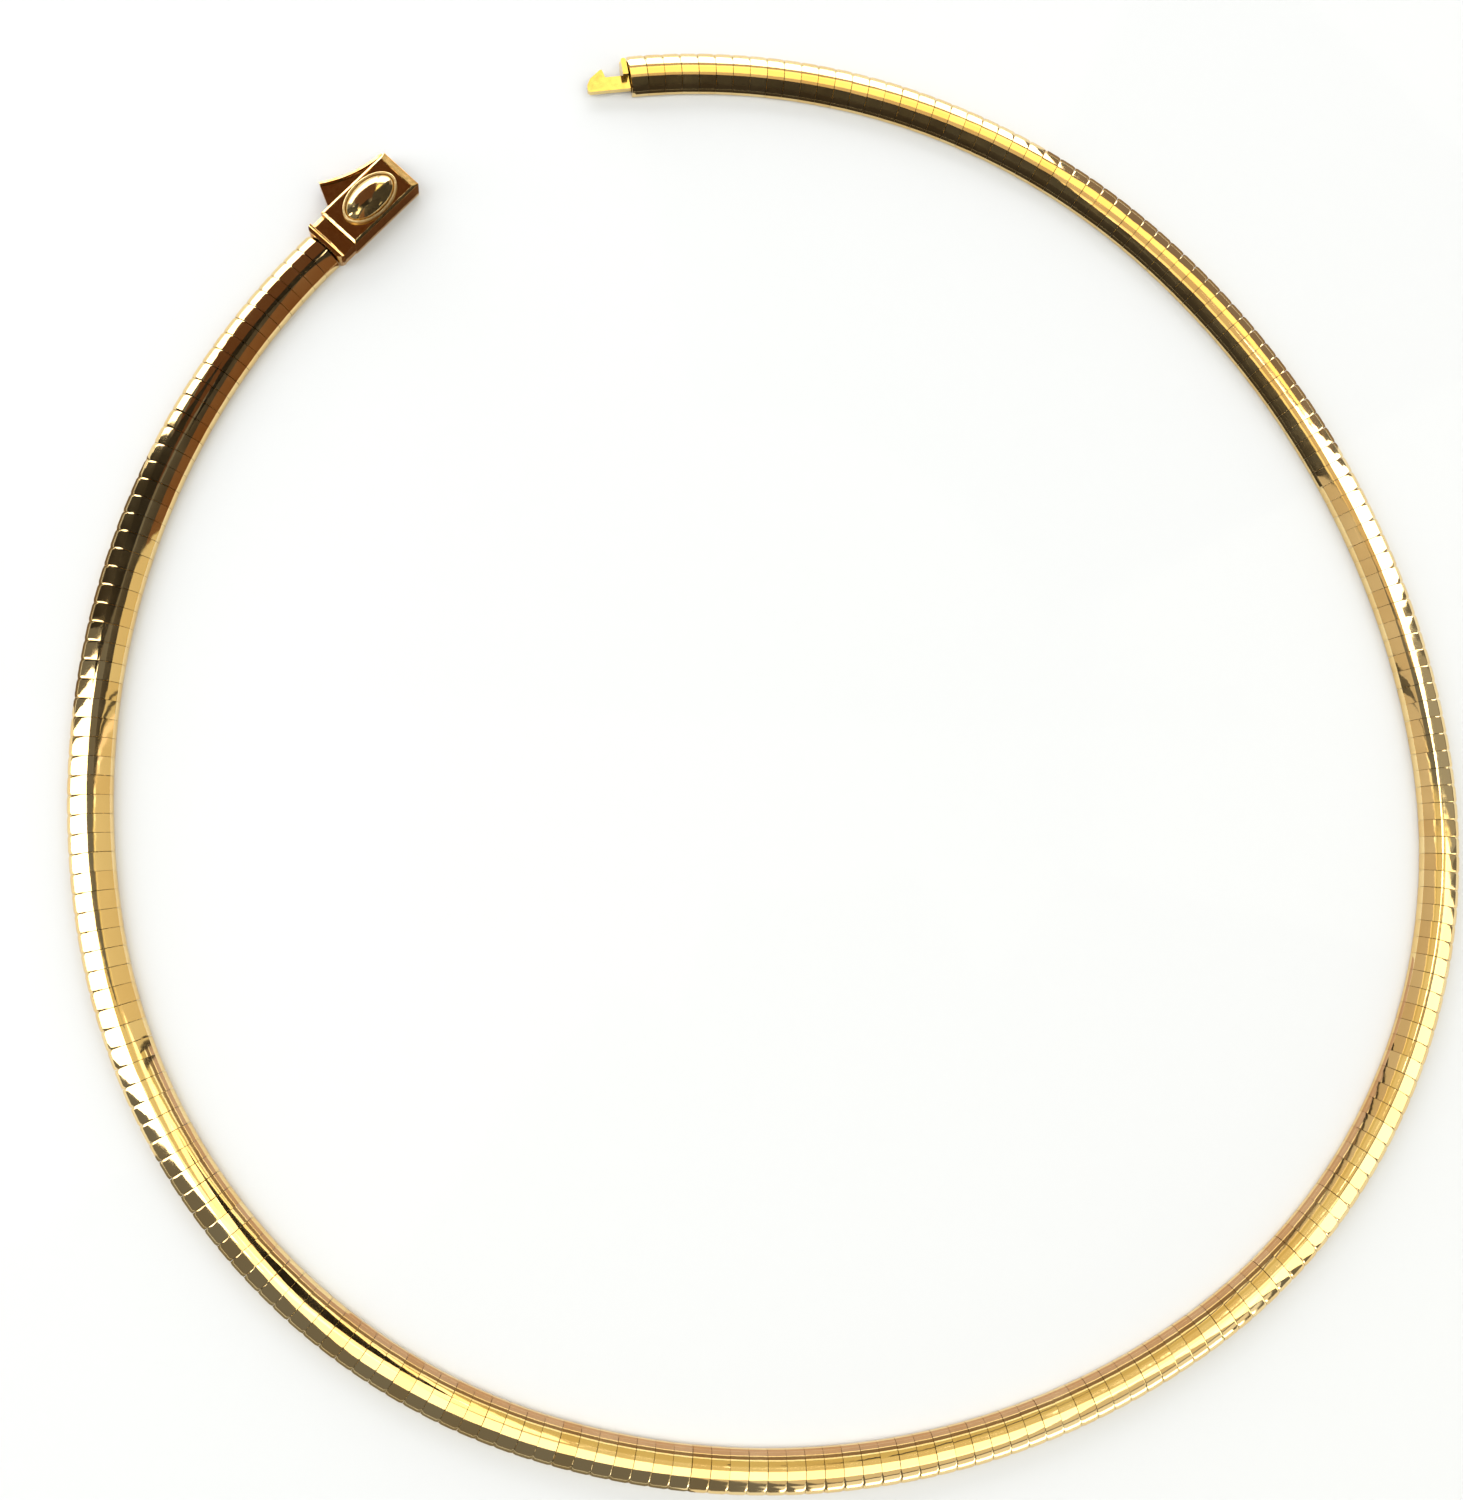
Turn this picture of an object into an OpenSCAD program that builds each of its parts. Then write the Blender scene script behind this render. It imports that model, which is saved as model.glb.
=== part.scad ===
// Omega necklace: an open ring of domed plates on a flat inner band, with a box clasp.
// The ring lies on its flat back at z = 0, domes up, and opens towards the upper left (-X, +Y).
// Millimetres. The origin is the middle of the ring's outline, on the surface it lies on.

/* [Ring] */
// Radius that every arc of the ring is drawn from
ring_r = 78; // [70:0.5:86]
// Direction in which the chain leaves the clasp, in degrees from the X axis
clasp_heading = 228.5; // [200:0.5:250]

/* [Plates] */
// Distance from one plate to the next, which is fitted to each arc's length
plate_pitch = 2; // [1.6:0.1:2.6]
// Smallest gap between two plates, at the inner edge of the ring
plate_gap = 0.11; // [0.1:0.01:0.2]
// Width of the chain across the plates
chain_w = 4.6; // [4.2:0.1:5]
// Height of the domes above the surface
chain_h = 2.2; // [2:0.05:2.6]
// Sheet thickness of a plate
plate_wall = 0.4; // [0.3:0.05:0.5]
// Radius of the dome where it turns down at each side
shoulder_r = 1; // [0.9:0.05:1.2]
// Height at which the dome's sides stand upright
shoulder_z = 0.7; // [0.6:0.05:0.8]
// Radius of the fold where a side turns under
fold_r = 0.3; // [0.2:0.05:0.35]
// Reach of the lip folded under each side of a plate
lip_w = 1.3; // [1.1:0.05:1.5]
// Thickness of the lip folded under
lip_t = 0.35; // [0.25:0.05:0.4]

/* [Inner band] */
// Width of the band that the plates ride on
band_w = 3.2; // [2.8:0.1:3.3]
// Thickness of the band
band_t = 0.55; // [0.4:0.05:0.6]
// Length of the keys that join the band's arcs
key_l = 1.2; // [0.8:0.1:2]
// How far a key stands in from the band's surfaces
key_in = 0.15; // [0.1:0.01:0.18]
// Clearance between the band and what holds it
band_clear = 0.12; // [0.1:0.01:0.15]
// Length of the spigots that the clasp and the tongue push into the last plates
spigot_l = 2.6; // [2:0.1:4]

/* [Collar] */
// Length of the collar between the chain and the clasp box
collar_l = 2.5; // [2:0.1:4]
// Width of the collar
collar_w = 4.9; // [4.6:0.1:5.1]
// Height of the collar
collar_h = 2.45; // [2.3:0.05:2.6]
// Length of the rounded flange at the collar's chain end
flange_l = 0.75; // [0.5:0.05:1]
// Radius of the flange's corners, seen from above
flange_r = 0.7; // [0.4:0.05:1]
// Depth of the step from the flange down to the collar's flat
collar_step = 0.15; // [0.1:0.05:0.3]

/* [Clasp box] */
// Length of the box
box_l = 10; // [9.5:0.5:14]
// Width of the box
box_w = 5.1; // [5.1:0.1:6]
// Height of the box's rim
box_h = 2.75; // [2.7:0.05:3.2]
// Wall of the box
box_wall = 0.45; // [0.35:0.05:0.5]
// Width of the raised rim round the face
rim_w = 0.3; // [0.2:0.05:0.4]
// Depth of the face below its rim
rim_step = 0.2; // [0.1:0.05:0.25]

/* [Boss] */
// Length of the oval boss
boss_l = 6.7; // [5:0.1:7]
// Width of the oval boss
boss_w = 3.7; // [3:0.1:3.9]
// Height of the boss above the face
boss_h = 1.25; // [0.8:0.05:1.5]
// Radius of the bezel's ends, measured where it meets the boss
bezel_end_r = 1.3; // [1:0.05:1.4]
// Width of the bezel round the boss
bezel_w = 0.3; // [0.2:0.05:0.4]
// Height of the bezel above the face
bezel_h = 0.4; // [0.2:0.05:0.5]
// How far the bezel reaches in under the boss
bezel_seat = 0.5; // [0.3:0.05:0.7]

/* [Lever] */
// Distance of the lever's pivot behind the mouth of the box
pivot_back = 2.9; // [2.8:0.1:3.2]
// Distance of the pivot in from the outer side of the box
pivot_in = 0.8; // [0.75:0.05:0.9]
// Radius of the pivot pin
pin_r = 0.35; // [0.3:0.05:0.4]
// Running clearance round the pin in the lever
pin_clear = 0.05; // [0.03:0.01:0.08]
// Seating clearance round the pin in the box, and at its ends
seat_clear = 0.02; // [0.01:0.01:0.03]
// Depth of the pin's blind seats in the box's two plates
pin_seat = 0.2; // [0.15:0.01:0.25]
// Wall of the lever round the pin
hub_wall = 0.27; // [0.2:0.01:0.3]
// Thickness of the lever's web
web_t = 1.05; // [0.8:0.05:1.2]
// Height of the flange along the lever's outer edge
wing_h = 1.85; // [1.5:0.05:2.2]
// Thickness of that flange
wing_t = 0.35; // [0.25:0.05:0.4]
// How far the thumb end stands out from the box
wing_out = 2.85; // [2:0.05:3.2]
// Distance of the thumb end behind the mouth
wing_back = 7.4; // [6.5:0.1:7.6]
// How far the thumb end's rear edge slants back towards the chain
thumb_slant = 1.2; // [0.8:0.1:1.4]
// Distance of the lever's front end behind the mouth
lever_back = 0.2; // [0.1:0.05:0.4]
// How far the lever's arm stands in from the box's wall
arm_in = 0.15; // [0.1:0.05:0.3]
// Hollow of the curved outer edge between mouth and thumb end
wing_sag = 0.5; // [0.3:0.05:0.8]
// Clearance between the lever and the box
lever_clear = 0.1; // [0.1:0.01:0.15]
// Room behind the thumb end in the box's side slot
slot_room = 0.3; // [0.2:0.05:0.5]
// Reach of the pawl in from the outer side of the box
pawl_reach = 2.05; // [1.9:0.05:2.1]
// Thickness of the pawl along the box
pawl_t = 0.6; // [0.5:0.05:0.7]
// Distance of the pawl behind the mouth
pawl_back = 0.95; // [0.9:0.05:1]

/* [Tongue] */
// Length of the tongue beyond the chain
tongue_l = 5.05; // [4.5:0.05:6]
// Width of the tongue's flat bar
tongue_w = 1.6; // [1.4:0.05:1.8]
// Distance of the bar's outer edge in from the middle of the chain
tongue_in = 0.1; // [0:0.05:0.3]
// Thickness of the bar
tongue_t = 0.7; // [0.6:0.05:0.9]
// Height of the tooth above the bar's outer edge
tooth_h = 0.95; // [0.8:0.05:1]
// Distance of the tooth from the chain's end
tooth_at = 3.05; // [2.9:0.05:3.2]
// Distance from the tooth's back edge to the foot of its ramp
tooth_ramp = 1.55; // [1.3:0.05:1.6]
// Length of the tooth's flat top
tooth_flat = 0.25; // [0.2:0.05:0.3]
// Chamfer on the tongue's tip
tip_chamfer = 0.25; // [0.1:0.05:0.4]
// Width of the tongue's tip, chamfer included
tip_w = 0.8; // [0.6:0.05:1]
// Clearance between the tongue and the floor of the box
tongue_clear = 0.1; // [0.1:0.01:0.15]
// Width of the stop tab that meets the mouth of the box
stop_w = 1.95; // [1.7:0.05:2.1]
// Thickness of the stop tab
stop_t = 0.62; // [0.5:0.02:0.7]
// Height of the stop tab
stop_h = 2.1; // [1.9:0.05:2.2]
// Height of the stop tab's foot above the surface
stop_z = 0.15; // [0.1:0.05:0.25]
// How far the stop tab reaches outwards from the middle of the chain
stop_out = 1.5; // [1.3:0.05:1.7]
// Gap between the chain's last plate and the stop tab
stop_gap = 0.25; // [0.2:0.05:0.4]

/* [Hidden] */

gold = [0.86, 0.70, 0.34];
pale_gold = [0.90, 0.78, 0.46];
old_gold = [0.66, 0.52, 0.24];
eps = 0.01;
$fn = 64;

// The ring as tangent arcs, from the clasp round to the tongue.
ARC_R = 0;     // radius as a share of ring_r
ARC_SWEEP = 1; // turn in degrees
arcs = [
    [1.11, 53.0],
    [0.88, 60.0],
    [1.09, 50.0],
    [0.85, 65.5],
    [1.20, 43.0],
    [0.96, 50.5],
];
last_arc = len(arcs) - 1;
left_arcs = [0, 1, 2];
right_arcs = [3, 4, 5];

function arc_r(i) = ring_r * arcs[i][ARC_R];
function arc_sweep(i) = arcs[i][ARC_SWEEP];
function arc_heading(i) = i == 0 ? clasp_heading : arc_heading(i - 1) + arc_sweep(i - 1);
function on_circle(r, heading) = r * [sin(heading), -cos(heading)];
function arc_start(i) =
    i == 0 ? [0, 0]
    : arc_start(i - 1) + on_circle(arc_r(i - 1), arc_heading(i)) - on_circle(arc_r(i - 1), arc_heading(i - 1));
function arc_centre(i) = arc_start(i) - on_circle(arc_r(i), arc_heading(i));
function arc_length(i) = arc_r(i) * arc_sweep(i) * PI / 180;
function plate_count(i) = max(1, round(arc_length(i) / plate_pitch));
function plate_turn(i) = arc_sweep(i) / plate_count(i);
function plate_heading(i, k) = arc_heading(i) + (k + 0.5) * plate_turn(i);
function plate_centre(i, k) = arc_centre(i) + on_circle(arc_r(i), plate_heading(i, k));
function plate_len(i) = arc_length(i) / plate_count(i) * (1 - chain_w / 2 / arc_r(i)) - plate_gap;

// The ring's outline, from the outer corners of every plate, puts the origin in its middle.
outer_corners = [
    for (i = [0 : last_arc], k = [0 : plate_count(i) - 1], end = [-0.5, 0.5])
        plate_centre(i, k) + on_circle(chain_w / 2, plate_heading(i, k))
            + end * plate_len(i) * [cos(plate_heading(i, k)), sin(plate_heading(i, k))]
];
corner_x = [for (p = outer_corners) p.x];
corner_y = [for (p = outer_corners) p.y];
ring_middle = [(min(corner_x) + max(corner_x)) / 2, (min(corner_y) + max(corner_y)) / 2];

chain_end = arc_centre(last_arc) + on_circle(arc_r(last_arc), arc_heading(last_arc) + arc_sweep(last_arc));
tongue_heading = arc_heading(last_arc) + arc_sweep(last_arc);

// Plate section: crown arc tangent to a shoulder arc at each side.
shoulder_x = chain_w / 2 - shoulder_r;
crown_rise = chain_h - shoulder_z;
crown_r = (shoulder_x * shoulder_x + crown_rise * crown_rise - shoulder_r * shoulder_r)
    / (2 * (crown_rise - shoulder_r));
crown_z = chain_h - crown_r;
slot_w = chain_w - 2 * lip_w;

band_z = lip_t + band_clear;

mouth_x = collar_l + box_l;
face_z = box_h - rim_step;
cavity_top = face_z - box_wall;
lever_z = (box_wall + cavity_top - web_t) / 2;
pivot = [mouth_x - pivot_back, box_w / 2 - pivot_in];
hub_r = pin_r + pin_clear + hub_wall;
thumb = [mouth_x - wing_back, box_w / 2 + wing_out];
wing_front = [mouth_x - lever_back, box_w / 2 + lever_clear + wing_t];
thumb_rear = [thumb.x - thumb_slant, wing_front.y];
arm_y = box_w / 2 - box_wall - arm_in;

// Circle that hollows the lever's outer edge: it passes through both ends of the chord.
wing_chord = thumb - wing_front;
wing_curve_r = wing_chord * wing_chord / (8 * wing_sag) + wing_sag / 2;
wing_normal = [wing_chord.y, -wing_chord.x] / norm(wing_chord);
wing_centre = (thumb + wing_front) / 2 + (wing_curve_r - wing_sag) * wing_normal;
side_slot_back = thumb_rear.x - slot_room;

tongue_z = box_wall + tongue_clear;

// Moves a shape from the clasp's own frame, X towards its mouth and +Y outwards, to its place.
module at_clasp() {
    translate([-ring_middle.x, -ring_middle.y, 0]) rotate([0, 0, clasp_heading + 180]) children();
}

// Moves a shape from the tongue's own frame, X beyond the chain and +Y outwards, to its place.
module at_tongue() {
    translate([chain_end.x - ring_middle.x, chain_end.y - ring_middle.y, 0])
        rotate([0, 0, tongue_heading]) mirror([0, 1, 0]) children();
}

// Outline of the dome, drawn in from the outside by inset, down to the height floor_z.
module dome_outline(inset, floor_z) {
    top_r = crown_r - inset;
    reach = 2 * top_r / norm([shoulder_x, shoulder_z - crown_z]);
    half_w = chain_w / 2 - inset;
    intersection() {
        union() {
            for (side = [-1, 1]) translate([side * shoulder_x, shoulder_z]) circle(r = shoulder_r - inset);
            intersection() {
                translate([0, crown_z]) circle(r = top_r);
                polygon([
                    [0, crown_z],
                    [shoulder_x * reach, crown_z + (shoulder_z - crown_z) * reach],
                    [-shoulder_x * reach, crown_z + (shoulder_z - crown_z) * reach],
                ]);
            }
            translate([-half_w, floor_z]) square([2 * half_w, shoulder_z - floor_z]);
        }
        translate([-chain_w, floor_z]) square([2 * chain_w, chain_h]);
    }
}

// Section of one plate: a domed channel with its sides folded under as lips.
module plate_section() {
    difference() {
        dome_outline(0, 0);
        dome_outline(plate_wall, lip_t);
        translate([-slot_w / 2, -eps]) square([slot_w, lip_t + 2 * eps]);
        for (side = [-1, 1]) translate([side * (chain_w / 2 - fold_r), fold_r]) difference() {
            translate([side > 0 ? 0 : -2 * fold_r, -2 * fold_r]) square(2 * fold_r);
            circle(r = fold_r);
        }
    }
}

// The plates along a run of arcs, each straight and square to the ring.
module plates(run) {
    color(gold) for (i = run, k = [0 : plate_count(i) - 1])
        translate([plate_centre(i, k).x - ring_middle.x, plate_centre(i, k).y - ring_middle.y, 0])
            rotate([0, 0, plate_heading(i, k)]) rotate([90, 0, 90])
                linear_extrude(height = plate_len(i), center = true) plate_section();
}

module chain_left() { plates(left_arcs); }

module chain_right() { plates(right_arcs); }

// One arc of the band, a hairline short of its neighbours.
module band_arc(i) {
    hairline = eps / arc_r(i) * 180 / PI;
    end_turn = (spigot_l + band_clear) / arc_r(i) * 180 / PI;
    skip = i == 0 ? end_turn : hairline;
    stop = i == last_arc ? end_turn : hairline;
    translate([arc_centre(i).x, arc_centre(i).y, 0]) rotate([0, 0, arc_heading(i) - 90 + skip])
        rotate_extrude(angle = arc_sweep(i) - skip - stop, $fn = 720)
            translate([arc_r(i) - band_w / 2, 0]) square([band_w, band_t]);
}

// Key that joins an arc of the band to the one before it.
module band_key(i) {
    key = [key_l, band_w - 2 * key_in, band_t - 2 * key_in];
    translate([arc_start(i).x, arc_start(i).y, 0]) rotate([0, 0, arc_heading(i)])
        translate([-key.x / 2, -key.y / 2, key_in]) cube(key);
}

// The flat band inside the plates, from the clasp's spigot to the tongue's.
module inner_band() {
    color(pale_gold) translate([-ring_middle.x, -ring_middle.y, band_z]) union() {
        for (i = [0 : last_arc]) band_arc(i);
        for (i = [1 : last_arc]) band_key(i);
    }
}

// Spigot that fills the end of the chain, from its end face to spigot_l inside.
module spigot() {
    translate([-spigot_l, -band_w / 2, band_z]) cube([spigot_l + band_clear + eps, band_w, band_t]);
}

// Collar: a flat block with a higher rounded flange against the chain.
module collar() {
    spigot();
    translate([band_clear, -collar_w / 2, 0]) cube([collar_l - band_clear + eps, collar_w, collar_h - collar_step]);
    linear_extrude(height = collar_h) union() {
        translate([band_clear + flange_r, 0]) for (side = [-1, 1])
            translate([0, side * (collar_w / 2 + collar_step / 2 - flange_r)]) circle(r = flange_r);
        translate([band_clear, -(collar_w / 2 + collar_step / 2 - flange_r)])
            square([flange_l, collar_w + collar_step - 2 * flange_r]);
    }
}

// Oval of four tangent arcs round the boss, larger than it by grow on every side.
module oval(grow) {
    width = boss_w + 2 * grow;
    end_r = bezel_end_r + grow;
    end_x = boss_l / 2 - bezel_end_r;
    side_r = (end_x * end_x + width * width / 4 - end_r * end_r) / (width - 2 * end_r);
    tangent_x = end_x * side_r / (side_r - end_r);
    union() {
        for (side = [-1, 1]) translate([side * end_x, 0]) circle(r = end_r);
        intersection() {
            translate([0, width / 2 - side_r]) circle(r = side_r);
            translate([0, side_r - width / 2]) circle(r = side_r);
            translate([-tangent_x, -width]) square([2 * tangent_x, 2 * width]);
        }
    }
}

// Oval dome, as a squashed ball cut flat.
module boss() {
    intersection() {
        scale([boss_l / 2, boss_w / 2, boss_h]) sphere(r = 1);
        translate([-boss_l, -boss_w, 0]) cube([2 * boss_l, 2 * boss_w, 2 * boss_h]);
    }
}

// Raised ring round the boss, which meets its foot.
module bezel() {
    linear_extrude(height = bezel_h + eps) difference() {
        oval(bezel_w);
        oval(-bezel_seat / 2);
    }
}

// The box without its boss: a rimmed face over a hollow, open at the mouth and along the lever's side.
module box_shell() {
    difference() {
        translate([collar_l, -box_w / 2, 0]) cube([box_l, box_w, box_h]);
        translate([collar_l + rim_w, -box_w / 2 + rim_w, face_z])
            cube([box_l - 2 * rim_w, box_w - 2 * rim_w, rim_step + eps]);
        translate([collar_l + box_wall, -box_w / 2 + box_wall, box_wall])
            cube([box_l, box_w - 2 * box_wall, cavity_top - box_wall]);
        translate([side_slot_back, box_w / 2 - box_wall - eps, lever_z - lever_clear])
            cube([box_l, box_wall + 2 * eps, web_t + 2 * lever_clear]);
        translate([pivot.x, pivot.y, box_wall - pin_seat])
            cylinder(r = pin_r + seat_clear, h = cavity_top - box_wall + 2 * pin_seat);
    }
}

module clasp_box() {
    color(old_gold) at_clasp() union() {
        collar();
        box_shell();
        translate([collar_l + box_l / 2, 0, face_z - eps]) {
            boss();
            bezel();
        }
    }
}

// Lever seen from above, without its bore: arm, thumb wing, hub and pawl.
module lever_outline() {
    union() {
        difference() {
            polygon([wing_front, thumb, thumb_rear, [thumb_rear.x, arm_y], [wing_front.x, arm_y]]);
            translate(wing_centre) circle(r = wing_curve_r, $fn = 180);
        }
        translate(pivot) circle(r = hub_r);
        translate([mouth_x - pawl_back - pawl_t, box_w / 2 - pawl_reach]) square([pawl_t, pawl_reach - box_wall]);
    }
}

// The upright flange that follows the lever's hollow outer edge.
module wing_flange() {
    intersection() {
        polygon([wing_front, thumb, thumb_rear, [wing_front.x, thumb_rear.y - wing_t]]);
        translate(wing_centre) difference() {
            circle(r = wing_curve_r + wing_t, $fn = 180);
            circle(r = wing_curve_r, $fn = 180);
        }
    }
}

module clasp_lever() {
    color(gold) at_clasp() difference() {
        union() {
            translate([0, 0, lever_z]) linear_extrude(height = web_t) lever_outline();
            translate([0, 0, lever_z + web_t / 2 - wing_h / 2]) linear_extrude(height = wing_h) wing_flange();
        }
        translate([pivot.x, pivot.y, lever_z - eps]) cylinder(r = pin_r + pin_clear, h = web_t + 2 * eps);
    }
}

module lever_pin() {
    color(old_gold) at_clasp() translate([pivot.x, pivot.y, box_wall - pin_seat + seat_clear])
        cylinder(r = pin_r, h = cavity_top - box_wall + 2 * (pin_seat - seat_clear));
}

// Tongue seen from above: a bar along its inner side, with a ramped tooth on its outer edge.
module tongue_outline() {
    bar_out = -tongue_in;
    bar_in = bar_out - tongue_w;
    polygon([
        [band_clear, bar_in],
        [tongue_l - tip_chamfer, bar_in],
        [tongue_l, bar_in + tip_chamfer],
        [tongue_l, bar_in + tip_w],
        [tooth_at + tooth_ramp, bar_out],
        [tooth_at + tooth_flat, bar_out + tooth_h],
        [tooth_at, bar_out + tooth_h],
        [tooth_at - tooth_flat, bar_out],
        [band_clear, bar_out],
    ]);
}

// Stop tab across the tongue, rounded at its outer end.
module stop_tab() {
    linear_extrude(height = stop_h) union() {
        translate([stop_gap, stop_out - stop_w]) square([stop_t, stop_w - stop_t / 2]);
        translate([stop_gap + stop_t / 2, stop_out - stop_t / 2]) circle(r = stop_t / 2);
    }
}

module tongue() {
    color(gold) at_tongue() union() {
        spigot();
        translate([0, 0, tongue_z]) linear_extrude(height = tongue_t) union() {
            tongue_outline();
            translate([band_clear, -band_w / 2]) square([stop_gap + stop_t - band_clear, band_w]);
        }
        translate([0, 0, stop_z]) stop_tab();
    }
}

chain_left();
chain_right();
inner_band();
clasp_box();
clasp_lever();
lever_pin();
tongue();
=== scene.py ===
"""Looks of an open omega necklace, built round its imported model, with a pale floor and studio light."""

import math
import random

import bmesh
import bpy
from mathutils import Matrix, Vector


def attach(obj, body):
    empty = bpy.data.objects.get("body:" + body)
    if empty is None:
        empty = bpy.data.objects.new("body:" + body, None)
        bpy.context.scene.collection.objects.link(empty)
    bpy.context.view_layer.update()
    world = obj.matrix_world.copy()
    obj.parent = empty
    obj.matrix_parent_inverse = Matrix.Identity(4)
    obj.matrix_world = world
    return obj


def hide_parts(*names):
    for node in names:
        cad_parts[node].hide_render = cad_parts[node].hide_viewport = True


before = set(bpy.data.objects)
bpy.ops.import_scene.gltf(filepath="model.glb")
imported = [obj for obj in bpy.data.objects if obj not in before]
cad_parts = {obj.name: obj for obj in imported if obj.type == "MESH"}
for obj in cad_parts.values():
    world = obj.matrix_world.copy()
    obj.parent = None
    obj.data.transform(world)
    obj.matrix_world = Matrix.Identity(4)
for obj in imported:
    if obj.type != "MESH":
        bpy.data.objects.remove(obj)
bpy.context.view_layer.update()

# Lengths are in millimetres, as on the bench, and become metres here.
MM = 0.001
# Points closer than this merge, in a shape cut from a solid and in one that was swept.
CUT_MERGE = 0.002
SWEPT_MERGE = 0.005
# Slack in finding points at a stated place.
NEAR = 0.01
# How far a cutter reaches past the metal, how far two cuts overlap, and a gap too small to see.
CUTTER_REACH = 1.0
CUT_OVERLAP = 0.1
HAIRLINE = 0.001

# The ring as arcs from clasp to tongue: centre, radius, heading at the start, turn, plates.
ARCS = [
    {"centre": (11.4391, -4.4138), "radius": 86.58, "heading": 228.5, "turn": 53.0, "plates": 40},
    {"centre": (-6.1407, -7.9905), "radius": 68.64, "heading": 281.5, "turn": 60.0, "plates": 36},
    {"centre": (-0.9433, 7.5431), "radius": 85.02, "heading": 341.5, "turn": 50.0, "plates": 37},
    {"centre": (8.8379, -8.4184), "radius": 66.30, "heading": 391.5, "turn": 65.5, "plates": 38},
    {"centre": (-18.2586, -11.7454), "radius": 93.60, "heading": 457.0, "turn": 43.0, "plates": 35},
    {"centre": (-6.2256, 2.5950), "radius": 74.88, "heading": 500.0, "turn": 50.5, "plates": 33},
]
CLASP_END = (-53.4055, 52.9558)
CLASP_HEADING = 228.5
TONGUE_HEADING = 550.5
# Gap between the chain's parts and the soldered parts at its ends.
END_GAP = 0.12

# Plate section: the crown's arc, the shoulders, the folds below and the lips beside the slot.
HALF_W = 2.3
CROWN_R = 2.94
CROWN_Z = -0.74
SHOULDER_X = 1.3
SHOULDER_Z = 0.7
FOLD_R = 0.3
SLOT_HALF = 1.0
LIP_T = 0.35
WALL = 0.4

# Plate ends: the joint, the rolled edge, the wedge rubbed off the outer corners, the widening outwards.
PLATE_JOINT = 0.035
ROLL_L = 0.03
ROLL_FROM = 0.3
CORNER_STEPS = (0.4, 0.9, 1.4, 1.9)
CORNER_ROLL = 0.07
CORNER_DROP = 0.005
TAPER_ROWS = 12
TAPER_FROM = 0.8
# Spread of each plate's turn round its length, its width and its height, in degrees.
PLATE_PLAY = (0.4, 0.28, 0.2)

# Band inside the plates.
BAND_W = 3.2
BAND_T = 0.55
BAND_Z = 0.47

# Clasp, in its own frame: X towards the mouth, Y outwards.
COLLAR_L = 2.5
COLLAR_W = 4.9
COLLAR_H = 2.45
FLANGE_L = 0.75
FLANGE_R = 0.7
COLLAR_STEP = 0.15
FLANGE_FLAT = 0.2
FLANGE_LEAN = 30
FACET_W = 0.9
FACET_LEAN = 28
FACET_BLOCK_FROM = 0.3
SPIGOT_L = 2.6
SPIGOT_ROOT = 0.2
BOX_L = 10.0
BOX_MIDDLE = COLLAR_L + BOX_L / 2
BOX_W = 5.1
BOX_H = 2.75
BOX_WALL = 0.45
RIM_W = 0.3
FRONT_RIM_W = 0.8
RIM_LEAN = 25
REAR_LEAN = 33
FRONT_LEAN = 13
FACE_Z = 2.55
# Painted shade on the clasp: full below the first height above the face, gone above the second.
PAINTED_SHADE_FULL = 0.02
PAINTED_SHADE_ENDS = 0.12
CAVITY_TOP = 2.1
SLOT_LOW = 0.65
SLOT_HIGH = 1.9
SLOT_BACK = 3.6
BOSS_L = 6.7
BOSS_W = 3.7
BOSS_H = 1.25
BOSS_SINK = 0.05
BEZEL_W = 0.3
BEZEL_H = 0.4
BEZEL_SINK = 0.04
BEZEL_DEPTH = 0.3
BEZEL_ROUND = 0.14
EDGE_R = 0.05
TONGUE_EDGE_R = 0.06

# Outer edge of the lever's flange: an arc in the clasp's frame.
WING_CENTRE = (13.17, 17.62)
WING_R = 14.65
WING_SLACK = 0.03
WING_TOP = 2.2
WING_FALL = 0.17

# Cards on the floor: their height, the length they are spun from, their gaps to chain and clasp, and how
# far the clasp's card goes inwards and past the mouth.
FLOOR_CARD_Z = 0.1
FLOOR_CARD_START = 0.1
FLOOR_CARD_GAP = 0.6
CLASP_CARD_GAP = 0.15
CLASP_CARD_EDGE = 26
CLASP_CARD_PAST = 2

# Paint of the cards that the gold mirrors.
DARK_CARD = "#140B06"
CLASP_CARD = "#1A1410"
ROSE_CARD = "#9E8B90"
OLIVE_CARD = "#5C5B59"
TAN_CARD = "#685646"

# The photo's camera: picture width and focal length in pixels, what it looks at, from how far and how turned.
PHOTO_WIDTH = 1463
FOCAL = 1700
SENSOR_W = 36
LOOK_AT = (-7.84, -1.57, 0)
CAMERA_DISTANCE = 187.3
CAMERA_RIGHT = (0.9894, 0.0, 0.1452)
CAMERA_BACK = (-0.1439, -0.1354, 0.9803)

random.seed(19)


# Bench tools


def take(piece):
    """Makes one piece the only selected and active object."""
    if bpy.context.mode != "OBJECT":
        bpy.ops.object.mode_set(mode="OBJECT")
    bpy.ops.object.select_all(action="DESELECT")
    piece.select_set(True)
    bpy.context.view_layer.objects.active = piece


def fresh():
    """Leaves nothing selected before a primitive is added."""
    if bpy.context.mode != "OBJECT":
        bpy.ops.object.mode_set(mode="OBJECT")
    bpy.ops.object.select_all(action="DESELECT")


def settle(piece):
    """Puts the piece's place, turn and scale into its mesh."""
    take(piece)
    bpy.ops.object.transform_apply(location=True, rotation=True, scale=True)
    return piece


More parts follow.
